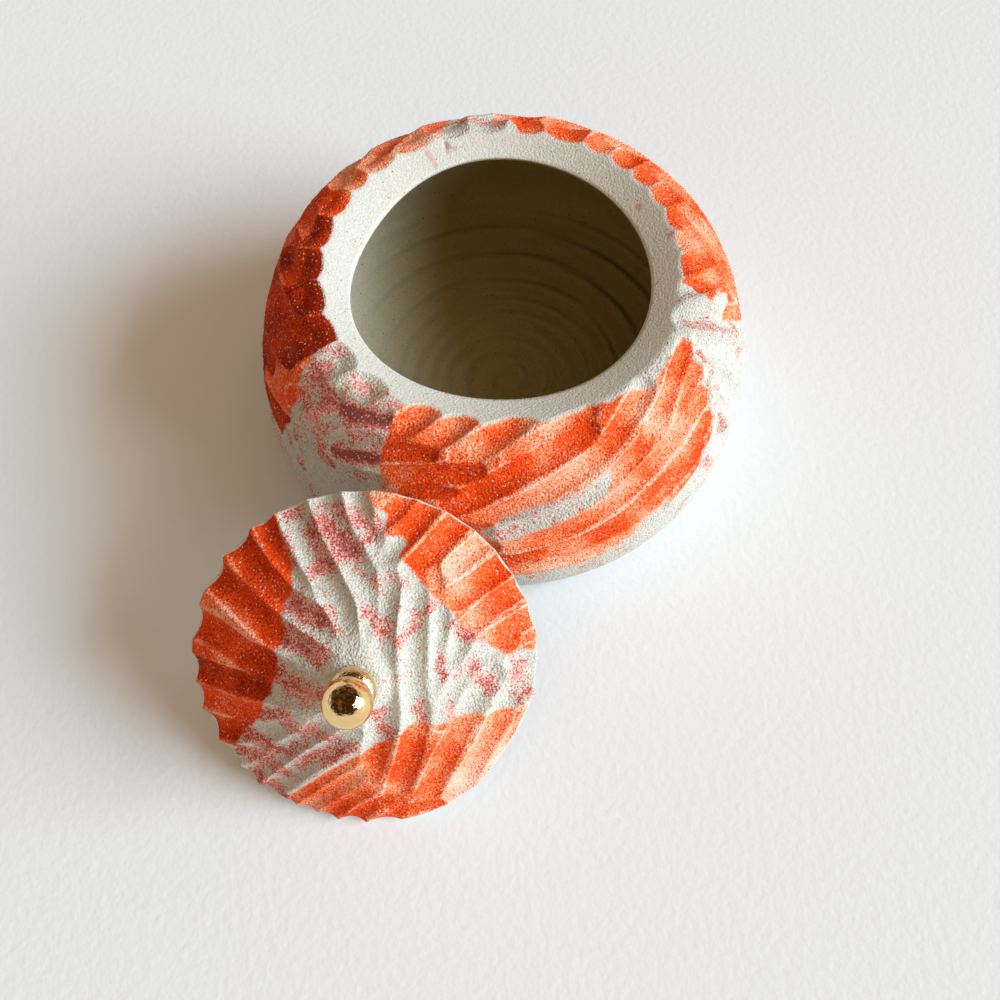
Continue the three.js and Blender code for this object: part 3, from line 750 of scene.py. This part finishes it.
def make_lid():
    """Top: the dome, sunk by the cuts along its normal. The edge face follows the notches that the
    cuts leave in it, less towards its foot. Below: the sloping ring for the seat, and the hollow,
    one wall under the dome."""
    azimuth = np.arange(LID_COLUMNS) * 360 / LID_COLUMNS
    pad_radii = np.linspace(FIRST_RADIUS, KNOB_PAD, PAD_ROWS)[:-1]
    radii = np.concatenate([pad_radii, np.linspace(KNOB_PAD, LID_RADIUS, DOME_ROWS)])
    dome = Profile(np.column_stack([radii, dome_height(radii)]))
    cuts = lid_cuts()
    grid_azimuth, grid_length = np.meshgrid(azimuth, dome.length)
    flat = dome.surface(grid_azimuth, grid_length)
    depth, ridge, thin = (part.reshape(grid_length.shape) for part in carve(flat.reshape(-1, 3), cuts))
    depth *= np.clip((radii[:, None] - PAD_CLEAR * KNOB_PAD) / PAD_FADE, 0, 1)
    top = dome.surface(grid_azimuth, grid_length, depth)
    x, y = flat[..., 0], flat[..., 1]
    outlines = [np.array(o) for o in (LID_LEFT_STAIN, LID_RIGHT_STAIN, LID_LOW_STAIN)]
    stain = np.maximum.reduce([outline_distance(x, y, outline) for outline in outlines])
    stain = np.clip(stain, -STAIN_LIMIT, STAIN_LIMIT)
    pink = dab_cover(x, y, LID_DABS)

    notch = depth[-1]
    side = []
    for share in EDGE_SHARES:
        inwards = notch * (NOTCH_INWARDS - NOTCH_EASED * share)
        radius = LID_RADIUS - share * LID_EDGE_INSET - inwards + EDGE_BULGE * (share - share ** 2)
        height = -share * LID_EDGE - (1 - share) * NOTCH_DOWN * notch
        side.append(np.column_stack([on_circle(azimuth, radius), height]))
    foot_radius = LID_RADIUS - LID_EDGE_INSET
    under = -LID_EDGE - LID_CHAMFER * SEAT_SLOPE
    below = [(foot_radius - LID_CHAMFER / 2, -LID_EDGE - LID_CHAMFER / 2 * SEAT_SLOPE),
             (foot_radius - LID_CHAMFER, under),
             (LID_HOLLOW_RADIUS + SMALL_BEVEL, under),
             (LID_HOLLOW_RADIUS, under + SMALL_BEVEL)]
    for radius in np.linspace(LID_HOLLOW_RADIUS, POLE_GAP, LID_HOLLOW_ROWS):
        below.append((radius, dome_height(radius) - LID_WALL))
    low = [level_ring(azimuth, radius, height) for radius, height in below]
    rings = [leaned(ring) for ring in (*top, *side, *low)]
    past_top = sum(len(ring) for ring in rings[len(top):]) + 1

    def top_only(values, filler):
        return np.concatenate([[filler], values.ravel(), np.full(past_top, filler)])

    values = {
        "stain": top_only(stain, -STAIN_LIMIT),
        "pink": top_only(pink, 0),
        "ridge": top_only(ridge, 1),
        "thin": top_only(thin, UNCUT_THIN)}
    zones = [OUTSIDE] * len(top) + [RIM] * (len(side) + len(low) + 1)
    poles = leaned(np.array([[0, 0, LID_RISE], [0, 0, LID_RISE - LID_WALL]]))
    lid = skin("carved_lid", rings, *poles, values, zones)
    for material in (stained_stoneware, bare_stoneware):
        lid.data.materials.append(material)
    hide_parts("lid_cap")
    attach(lid, "lid")
    return lid


def turned_piece(name, node, outline, base, uneven, material):
    """A turned solid on the lid's axis, its radius waved by hand: uneven is the size of the waves,
    two long ones round and one that climbs."""
    azimuth = np.arange(KNOB_COLUMNS) * 360 / KNOB_COLUMNS
    turn = np.radians(azimuth)
    rings = []
    for radius, height in outline[1:-1]:
        wave = np.sin(2 * turn + 0.7 * height) + 0.6 * np.sin(3 * turn - 1.3 * height)
        wave = wave + 0.4 * np.sin(2.4 * height)
        rings.append(leaned(level_ring(azimuth, radius - uneven * (1 + 0.5 * wave), base + height)))
    poles = leaned(np.array([[0, 0, base + outline[0][1]], [0, 0, base + outline[-1][1]]]))
    piece = skin(name, rings, *poles, {}, [0] * (len(rings) + 1))
    piece.data.materials.append(material)
    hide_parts(node)
    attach(piece, "lid")
    return piece


KNOB_ROUNDING = 0.35
KNOB_ROUNDING_SHARPNESS = 18
NECK_ROWS = 25
NECK_FLAT = 2.0  # radius of the first ring on its flat ends
NECK_UNEVEN = 0.05
BALL_ROWS = 48
BALL_UNEVEN = 0.02


def make_knob():
    """The neck is a barrel whose radius falls by the square of the way from its middle, with
    rounded rims. The ball is a sphere with a flat where it meets the neck."""
    up = np.linspace(0, 1, NECK_ROWS)
    barrel = NECK_RADIUS - NECK_WAIST * (2 * up - 1) ** 2
    sharp = KNOB_ROUNDING_SHARPNESS
    rounding = KNOB_ROUNDING * (np.exp(-up * sharp) + np.exp(-(1 - up) * sharp))
    wall = zip(barrel - rounding, up * NECK_HEIGHT)
    neck = [(0, 0), (NECK_FLAT, 0), *wall, (NECK_FLAT, NECK_HEIGHT), (0, NECK_HEIGHT)]
    start = np.arcsin(BALL_FLAT / BALL_RADIUS)
    turn = np.linspace(start, np.pi, BALL_ROWS)[:-1]
    flat = -BALL_RADIUS * np.cos(start)
    round_part = zip(BALL_RADIUS * np.sin(turn), -BALL_RADIUS * np.cos(turn))
    ball = [(0, flat), (0.5 * BALL_FLAT, flat), *round_part, (0, BALL_RADIUS)]
    neck_base = LID_RISE + JOINT_GAP
    turned_piece("gilded_neck", "knob_neck", neck[::-1], neck_base, NECK_UNEVEN, brushed_gold)
    turned_piece("gilded_ball", "knob_ball", ball[::-1], ball_height, BALL_UNEVEN, gold_lustre)


# Materials

def linear(text):
    """An sRGB hex colour as linear red, green, blue and alpha."""
    channels = [int(text[i:i + 2], 16) / 255 for i in (1, 3, 5)]
    return (*(c / 12.92 if c <= 0.04045 else ((c + 0.055) / 1.055) ** 2.4 for c in channels), 1.0)


def node(tree, kind, settings=None, **inputs):
    """Adds a node. settings are its properties. inputs are its sockets by name, with spaces as
    underscores, or by number after an i, each a value or the output that feeds it."""
    made = tree.nodes.new("ShaderNode" + kind)
    for key, value in (settings or {}).items():
        setattr(made, key, value)
    for key, value in inputs.items():
        socket = made.inputs[int(key[1:])] if key[1:].isdigit() else made.inputs[key.replace("_", " ")]
        if isinstance(value, bpy.types.NodeSocket):
            tree.links.new(value, socket)
        else:
            socket.default_value = value
    return made


def new_material(name):
    """A material, its tree and shader, and the place on the object in millimetres."""
    material = bpy.data.materials.new(name)
    material.use_nodes = True
    tree = material.node_tree
    shader = tree.nodes["Principled BSDF"]
    place = node(tree, "TexCoord").outputs["Object"]
    millimetres = node(tree, "VectorMath", {"operation": "SCALE"}, i0=place, Scale=1000).outputs[0]
    return material, tree, shader, millimetres


GRIT = 0.36  # mm across a grain of sand in the clay
GRIT_HEIGHT = 0.00018  # metres
SPECK = 1.7  # mm between dark iron specks
CLOUD = 9.0  # mm across the slow changes of tone
STREAK = 2.0  # mm across the dry streaks of the brush
WHITE_GRAIN = 0.7  # mm between grains that the stain has not covered
IRON = "#6E6252"


def coat(tree, under, paint, field, start, full, most=1.0, blend="MIX"):
    """Lays paint over a colour: none where the field is at start, and most where it is at full."""
    share = node(tree, "MapRange", Value=field, i1=start, i2=full, i4=most).outputs[0]
    settings = {"data_type": "RGBA", "blend_type": blend}
    return node(tree, "Mix", settings, Factor=share, i6=under, i7=paint).outputs[2]


def strayed(tree, value, noise, width):
    """A value that a noise moves by up to half of width to either side."""
    swing = node(tree, "Math", {"operation": "SUBTRACT"}, i0=noise, i1=0.5).outputs[0]
    return node(tree, "Math", {"operation": "MULTIPLY_ADD"}, i0=swing, i1=width, i2=value).outputs[0]


def grit_bump(tree, shader, millimetres, strength):
    """Sand grains that stand out of the clay: fine noise, and rounder grains as cell distances."""
    grains = node(tree, "TexNoise", Vector=millimetres, Scale=1 / GRIT, Detail=2.0, Roughness=0.6)
    grains = grains.outputs["Fac"]
    pebbles = node(tree, "TexVoronoi", Vector=millimetres, Scale=0.8 / GRIT).outputs["Distance"]
    height = node(tree, "Math", {"operation": "SUBTRACT"}, i0=grains, i1=pebbles).outputs[0]
    bump = node(tree, "Bump", Strength=strength, Distance=GRIT_HEIGHT, Height=height)
    tree.links.new(bump.outputs["Normal"], shader.inputs["Normal"])
    shader.inputs["Specular IOR Level"].default_value = 0.12
    return grains


def clay_colour(tree, millimetres, grains, light, dark, specks):
    """Pale clay that is mottled by its sand, with small dark iron specks."""
    body = coat(tree, linear(dark), linear(light), grains, start=0.35, full=0.65)
    cells = node(tree, "TexVoronoi", Vector=millimetres, Scale=1 / SPECK).outputs["Distance"]
    return coat(tree, body, linear(specks), cells, start=0.10, full=0.06)


def make_bare_stoneware():
    """Bare sanded stoneware, cut and sponged: matt and pale, with sand and iron specks showing,
    painted shade in a crease and faint pink smears."""
    material, tree, shader, millimetres = new_material("bare_sanded_stoneware")
    grains = grit_bump(tree, shader, millimetres, 0.45)
    colour = clay_colour(tree, millimetres, grains, "#E1DFD7", "#CCC9BE", IRON)
    # The second coat is painted shade, dark where the rim is creased.
    for name, paint, most in (("pink", "#D8786C", 0.7), ("groove", "#6A4436", 0.8)):
        laid = node(tree, "Attribute", {"attribute_name": name}).outputs["Fac"]
        colour = coat(tree, colour, linear(paint), laid, start=0.1, full=1.0, most=most)
    tree.links.new(colour, shader.inputs["Base Color"])
    shader.inputs["Roughness"].default_value = 0.9
    return material


# Painted shade in the hollow, olive brown and darker to the right, the back and the floor: how far
# along this lean, in mm, it starts and is full
HOLLOW_SHADE_LEAN = (-0.55, -0.2, 0.5)
HOLLOW_SHADE_START = 31.0
HOLLOW_SHADE_FULL = 5.0


def make_inside_painted_shade_stoneware():
    """Stoneware inside the hollow: satin. Painted shade makes it olive brown and darker towards
    the floor, the right and the back, so the hollow reads deep, and darkens the steps of the ledge."""
    material, tree, shader, millimetres = new_material("inside_stoneware_with_painted_shade")
    grains = grit_bump(tree, shader, millimetres, 0.25)
    colour = clay_colour(tree, millimetres, grains, "#E8E4D6", "#D6D1BE", "#4A4230")
    lean = node(tree, "VectorMath", {"operation": "DOT_PRODUCT"}, i0=millimetres, i1=HOLLOW_SHADE_LEAN)
    lean = lean.outputs["Value"]
    # Painted shade: olive brown and darker towards the floor, the right and the back.
    colour = coat(tree, colour, linear("#9C8852"), lean, HOLLOW_SHADE_START, HOLLOW_SHADE_FULL, blend="MULTIPLY")
    # Painted shade at the steps of the throwing ledge.
    groove = node(tree, "Attribute", {"attribute_name": "groove"}).outputs["Fac"]
    colour = coat(tree, colour, linear("#8A8068"), groove, start=0.0, full=1.0, blend="MULTIPLY")
    tree.links.new(colour, shader.inputs["Base Color"])
    shader.inputs["Roughness"].default_value = 0.7
    return material


# Orange stain where it is thick, and how thin it starts and ends to be each paler colour
THICK_ORANGE = "#962200"
THINNER_ORANGES = ((-0.9, 0.0, "#FB5216"), (0.1, 0.55, "#FF9260"), (0.5, 1.2, "#FFCFB8"))
THIN_WEIGHT = 0.7
THIN_STRAY = 2.4


def orange_stain(tree, grains, clouds, streaks, cells):
    """Iron oxide stain: thick and red brown, then orange, salmon and pale as it thins out in
    clouds and on the ridges. Where low thin values make it red brown on the bowl's left, away
    from the window, that is painted shade. The ridges are worn through in streaks and round
    grains stay pale. The pits between grains are darkened with painted shade."""
    ridge = node(tree, "Attribute", {"attribute_name": "ridge"}).outputs["Fac"]
    crest = node(tree, "MapRange", Value=ridge, i1=0.8, i2=0.92).outputs[0]
    thin = node(tree, "Attribute", {"attribute_name": "thin"}).outputs["Fac"]
    thin = node(tree, "Math", {"operation": "ADD"}, i0=thin, i1=crest).outputs[0]
    thin = node(tree, "Math", {"operation": "MULTIPLY"}, i0=thin, i1=THIN_WEIGHT).outputs[0]
    for noise in (clouds, grains):
        thin = strayed(tree, thin, noise, THIN_STRAY)
    colour = linear(THICK_ORANGE)
    for start, full, paint in THINNER_ORANGES:
        colour = coat(tree, colour, linear(paint), thin, start, full)
    dry = node(tree, "MapRange", Value=streaks, i1=0.54, i2=0.62).outputs[0]
    worn = node(tree, "Math", {"operation": "MULTIPLY"}, i0=crest, i1=dry).outputs[0]
    colour = coat(tree, colour, linear("#EBCFC0"), worn, start=0.0, full=1.0, most=0.3)
    middle = node(tree, "MapRange", Value=cells, i1=0.24, i2=0.13).outputs[0]
    missed = node(tree, "MapRange", Value=streaks, i1=0.43, i2=0.49).outputs[0]
    missed = node(tree, "Math", {"operation": "MULTIPLY"}, i0=middle, i1=missed).outputs[0]
    colour = coat(tree, colour, linear("#F6E4DA"), missed, start=0.0, full=1.0, most=0.85)
    # Painted shade: darker in the pits between grains.
    return coat(tree, colour, linear("#6E2208"), grains, start=0.45, full=0.3, most=0.55)


def pink_dabs(tree, clay, grains, clouds, streaks, cells):
    """Pink stain dabbed on the bare clay with a dry brush: it takes where its cover is more than
    the grains scrape off, is crimson where it was laid twice, and leaves round grains pale."""
    cover = node(tree, "Attribute", {"attribute_name": "pink"}).outputs["Fac"]
    haze = node(tree, "MapRange", Value=streaks, i1=0.5, i2=0.75, i4=0.3).outputs[0]
    cover = node(tree, "Math", {"operation": "ADD"}, i0=cover, i1=haze).outputs[0]
    cover = strayed(tree, cover, streaks, 1.6)
    tone = strayed(tree, clouds, grains, 3.2)
    pink = coat(tree, linear("#B0141A"), linear("#F59484"), tone, start=0.2, full=0.6)
    pink = coat(tree, pink, linear("#8C1010"), cover, start=1.1, full=1.8, most=0.85)
    scraped = node(tree, "MapRange", Value=grains, i1=0.32, i2=0.68, i4=0.7).outputs[0]
    taken = node(tree, "Math", {"operation": "MULTIPLY"}, i0=cover, i1=0.8).outputs[0]
    taken = node(tree, "Math", {"operation": "SUBTRACT"}, i0=taken, i1=scraped).outputs[0]
    colour = coat(tree, clay, pink, taken, start=-0.1, full=0.5, most=0.9)
    return coat(tree, colour, linear("#F0EAE2"), cells, start=0.3, full=0.16, most=0.8)


def make_stained_stoneware():
    """Carved stoneware under brushed oxide stain: matt and sandy. Orange covers it inside the
    stain's outlines, whose edge is frayed by the brush and the grains, and pink dabs lie outside."""
    material, tree, shader, millimetres = new_material("brush_stained_stoneware")
    grains = grit_bump(tree, shader, millimetres, 1.0)
    clay = clay_colour(tree, millimetres, grains, "#D9D7CE", "#C0BDB0", IRON)
    clouds = node(tree, "TexNoise", Vector=millimetres, Scale=1 / CLOUD, Detail=3.0).outputs["Fac"]
    streaks = node(tree, "TexNoise", Vector=millimetres, Scale=1 / STREAK, Detail=2.0).outputs["Fac"]
    cells = node(tree, "TexVoronoi", Vector=millimetres, Scale=1 / WHITE_GRAIN).outputs["Distance"]
    orange = orange_stain(tree, grains, clouds, streaks, cells)
    dabbed = pink_dabs(tree, clay, grains, clouds, streaks, cells)
    edge = node(tree, "Attribute", {"attribute_name": "stain"}).outputs["Fac"]
    edge = strayed(tree, strayed(tree, edge, streaks, 1.0), grains, 2.0)
    colour = coat(tree, dabbed, orange, edge, start=-0.12, full=0.12)
    tree.links.new(colour, shader.inputs["Base Color"])
    shader.inputs["Roughness"].default_value = 0.82
    return material


DENT_HEIGHT = 0.0002  # metres


def make_gold(name, roughness, bump_strength, bump_size, colour):
    """Fired gold lustre over glaze. On the ball it is a smooth mirror that still follows small
    dents. On the neck the brush has left fine ridges, which spread its reflections."""
    material, tree, shader, millimetres = new_material(name)
    dents = node(tree, "TexNoise", Vector=millimetres, Scale=1 / bump_size, Detail=3.0).outputs["Fac"]
    bump = node(tree, "Bump", Strength=bump_strength, Distance=DENT_HEIGHT, Height=dents)
    tree.links.new(bump.outputs["Normal"], shader.inputs["Normal"])
    shader.inputs["Base Color"].default_value = linear(colour)
    shader.inputs["Metallic"].default_value = 1.0
    shader.inputs["Roughness"].default_value = roughness
    return material


PEEL = 0.6  # bumps of the roller's orange peel for each mm
PEEL_HEIGHT = 0.0003  # metres


def make_painted_board():
    """White painted board under the pot: matt, with the faint orange peel that a roller leaves."""
    material, tree, shader, millimetres = new_material("white_painted_board")
    shader.inputs["Specular IOR Level"].default_value = 0.2
    peel = node(tree, "TexNoise", Vector=millimetres, Scale=PEEL, Detail=3.0).outputs["Fac"]
    bump = node(tree, "Bump", Strength=0.3, Distance=PEEL_HEIGHT, Height=peel)
    tree.links.new(bump.outputs["Normal"], shader.inputs["Normal"])
    shader.inputs["Base Color"].default_value = linear("#ECEEF0")
    shader.inputs["Roughness"].default_value = 0.7
    return material


stained_stoneware = make_stained_stoneware()
bare_stoneware = make_bare_stoneware()
inside_painted_shade_stoneware = make_inside_painted_shade_stoneware()
gold_lustre = make_gold("mirror_gold_lustre", 0.07, 0.5, 0.9, "#F5D596")
brushed_gold = make_gold("brushed_gold_lustre", 0.22, 1.0, 0.6, "#F5D79C")

make_bowl()
make_lid()
make_knob()


# Stage

FLOOR_HALF = 3.0  # metres


def make_floor():
    """A flat square of painted board."""
    mesh = bpy.data.meshes.new("floor")
    corners = [(x * FLOOR_HALF, y * FLOOR_HALF, 0) for x, y in ((-1, -1), (1, -1), (1, 1), (-1, 1))]
    mesh.from_pydata(corners, [], [(0, 1, 2, 3)])
    floor = bpy.data.objects.new("floor", mesh)
    bpy.context.scene.collection.objects.link(floor)
    floor.data.materials.append(make_painted_board())


CAMERA_PLACE = (0.0, -118.6, 191.9)
CAMERA_DOWN = 64.61  # degrees below level
CAMERA_YAW = -0.55
CAMERA_ROLL = -1.16


def make_camera():
    """The photograph's view: 36 mm lens on a 36 mm wide square frame, looking down from the front."""
    down, yaw, roll = np.radians([CAMERA_DOWN, CAMERA_YAW, CAMERA_ROLL])
    ahead = np.array([np.sin(yaw) * np.cos(down), np.cos(yaw) * np.cos(down), -np.sin(down)])
    level = np.array([np.cos(yaw), -np.sin(yaw), 0])
    rise = np.cross(level, ahead)
    right = np.cos(roll) * level + np.sin(roll) * rise
    top = np.cos(roll) * rise - np.sin(roll) * level
    data = bpy.data.cameras.new("camera")
    data.lens = data.sensor_width = 36
    camera = bpy.data.objects.new("camera", data)
    turn = Matrix(np.column_stack([right, top, -ahead]).tolist()).to_4x4()
    camera.matrix_world = Matrix.Translation(np.array(CAMERA_PLACE) * MM) @ turn
    bpy.context.scene.collection.objects.link(camera)
    bpy.context.scene.camera = camera


WINDOW_AZIMUTH = -9.0
WINDOW_ELEVATION = 27.0
WINDOW_DISTANCE = 20.0  # metres, far enough to light the whole floor evenly
WINDOW_WIDTH = 14.7
WINDOW_HEIGHT = 10.3
WINDOW_POWER = 6840.0
WINDOW_COLOUR = (0.74, 0.89, 1.0)


def make_window():
    """A large soft window from the right, cool."""
    data = bpy.data.lights.new("window", "AREA")
    data.shape = "RECTANGLE"
    data.size = WINDOW_WIDTH
    data.size_y = WINDOW_HEIGHT
    data.energy = WINDOW_POWER
    data.color = WINDOW_COLOUR
    window = bpy.data.objects.new("window", data)
    azimuth, elevation = np.radians([WINDOW_AZIMUTH, WINDOW_ELEVATION])
    level = np.array([np.cos(azimuth), np.sin(azimuth), 0])
    towards = level * np.cos(elevation) + np.array([0, 0, np.sin(elevation)])
    side = np.array([-np.sin(azimuth), np.cos(azimuth), 0])
    turn = Matrix(np.column_stack([side, np.cross(towards, side), towards]).tolist()).to_4x4()
    window.matrix_world = Matrix.Translation(towards * WINDOW_DISTANCE) @ turn
    bpy.context.scene.collection.objects.link(window)


# The room's own light, warm, which falls off away from its bright side
ROOM_BRIGHT_SIDE = (0.7, -0.6, 0.55)
ROOM_FILL = (0.53, 0.39, 0.26, 1)
ROOM_SHADE = (0.11, 0.055, 0.02, 1)

# What the camera and the gold see of the room: pale walls, and above them a dark ceiling with
# warm things on it
PALE_WALL = (0.82, 0.82, 0.82, 1)
DARK_CEILING = (0.03, 0.018, 0.01, 1)
WARM_THINGS = (0.3, 0.13, 0.04, 1)


def make_room():
    """A dim warm room all round. The camera and the gold see its walls and ceiling instead of the
    light that it gives."""
    world = bpy.data.worlds.new("room")
    world.use_nodes = True
    tree = world.node_tree
    direction = node(tree, "TexCoord").outputs["Generated"]
    height = node(tree, "SeparateXYZ", Vector=direction).outputs["Z"]
    things = node(tree, "TexNoise", Vector=direction, Scale=4.0, Detail=3.0).outputs["Fac"]
    ceiling = coat(tree, DARK_CEILING, WARM_THINGS, things, start=0.5, full=0.65)
    seen = coat(tree, PALE_WALL, ceiling, height, start=0.22, full=0.42)
    facing = node(tree, "VectorMath", {"operation": "DOT_PRODUCT"}, i0=direction, i1=ROOM_BRIGHT_SIDE)
    fill = coat(tree, ROOM_FILL, ROOM_SHADE, facing.outputs["Value"], start=0.4, full=-0.5)
    rays = node(tree, "LightPath").outputs
    shown = rays["Is Camera Ray"]
    for kind in ("Is Glossy Ray", "Is Transmission Ray"):
        shown = node(tree, "Math", {"operation": "MAXIMUM"}, i0=shown, i1=rays[kind]).outputs[0]
    colour = coat(tree, fill, seen, shown, start=0.0, full=1.0)
    tree.links.new(colour, tree.nodes["Background"].inputs["Color"])
    bpy.context.scene.world = world


make_floor()
make_camera()
make_window()
make_room()
bpy.context.scene.view_settings.view_transform = "Standard"
